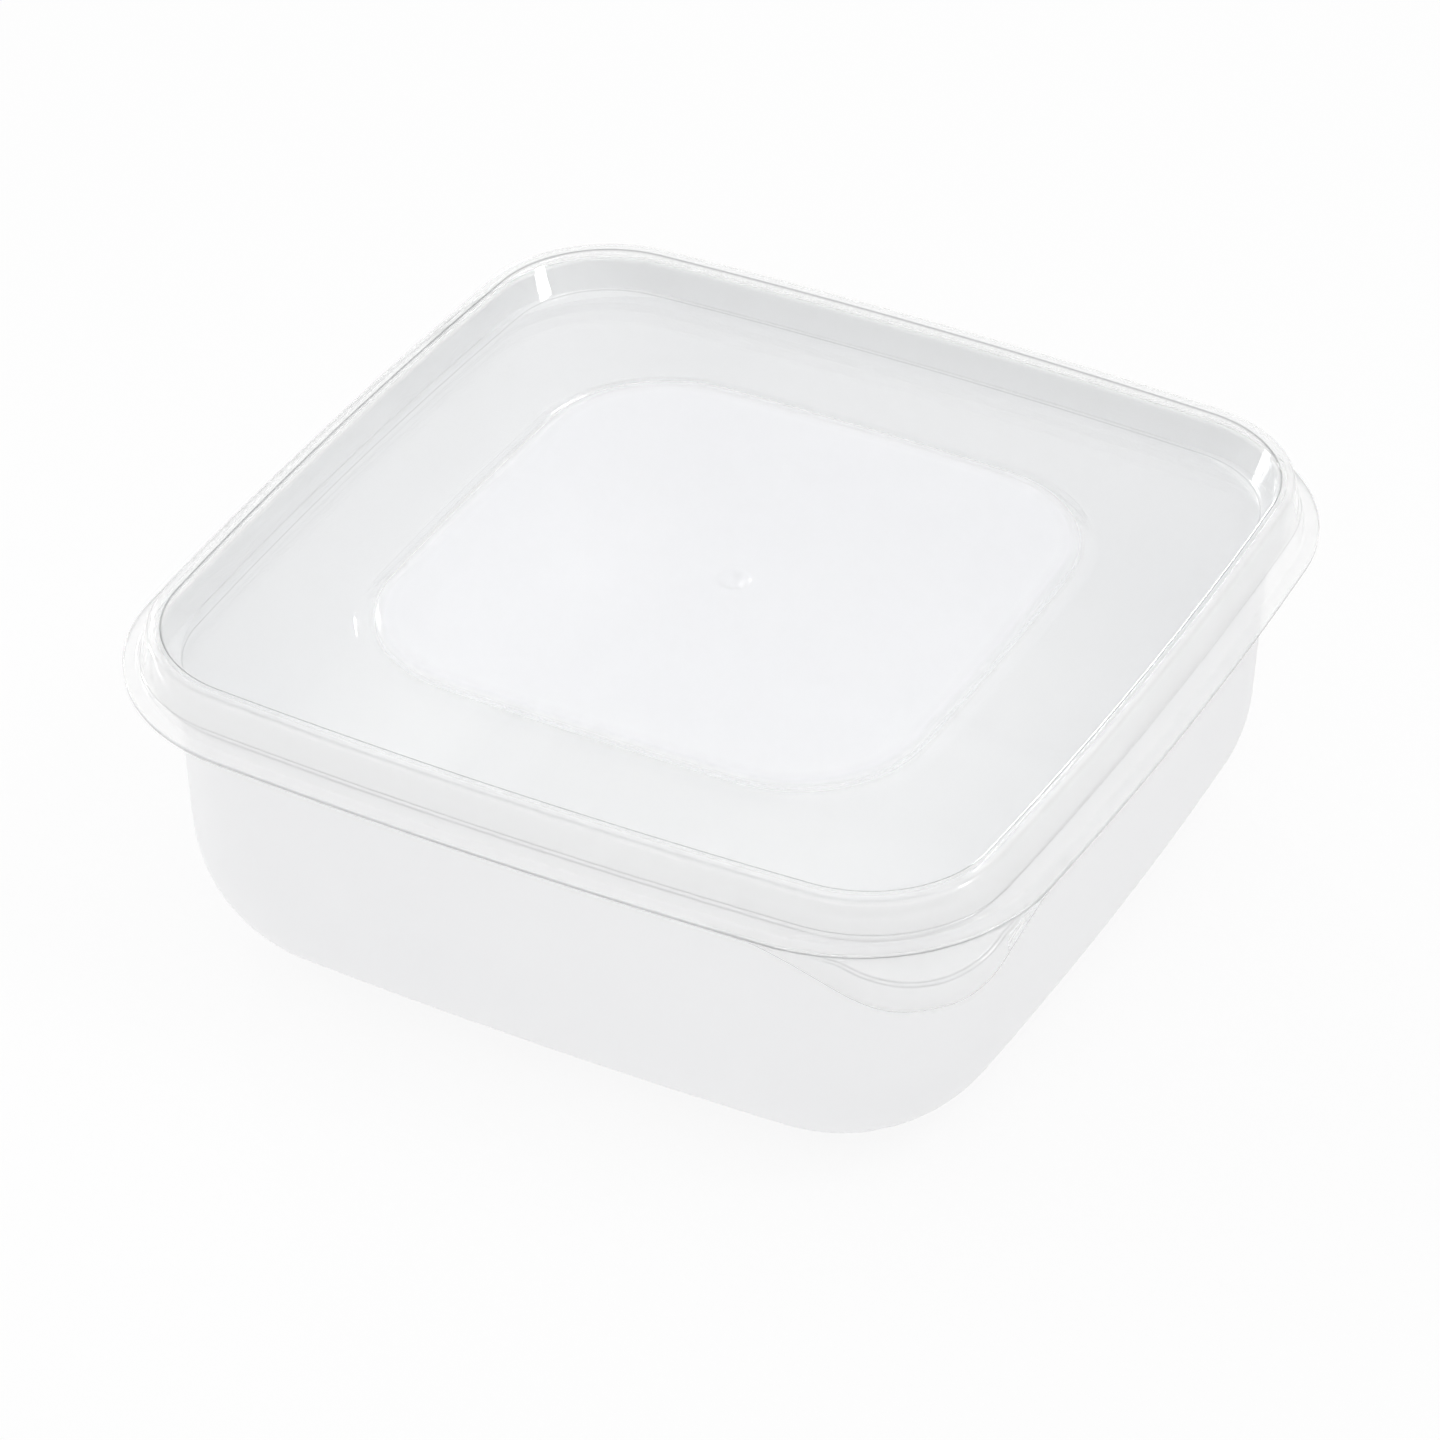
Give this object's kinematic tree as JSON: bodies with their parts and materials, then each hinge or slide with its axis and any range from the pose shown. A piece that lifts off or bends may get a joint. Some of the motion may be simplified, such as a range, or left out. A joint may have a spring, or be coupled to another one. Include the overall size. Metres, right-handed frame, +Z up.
{
  "type": "food storage box",
  "caption": "Square food storage box with rounded corners: a milky container with a deeply rounded base and a press-on lid with a sunk top, raised middle, flat lip and corner finger tabs.",
  "frame": {"origin": "middle of the container's foot, at the height of the surface it stands on", "axes": "+Z up; the sides run along X and Y; the finger tabs are on the corners at +X -Y and -X +Y"},
  "size_m": [0.16, 0.16, 0.063],
  "materials": {
    "milky_plastic": "milky translucent, satin",
    "clear_lid_plastic": "clear to milky, glossy on the crest and lip"
  },
  "bodies": {
    "container": {"container": "milky_plastic"},
    "lid": {"lid": "clear_lid_plastic"}
  },
  "joints": [
    {"name": "lid_lift", "type": "slide", "parent": "container", "child": "lid", "axis": [0, 0, 1], "range_m": [0, 0.08]}
  ]
}
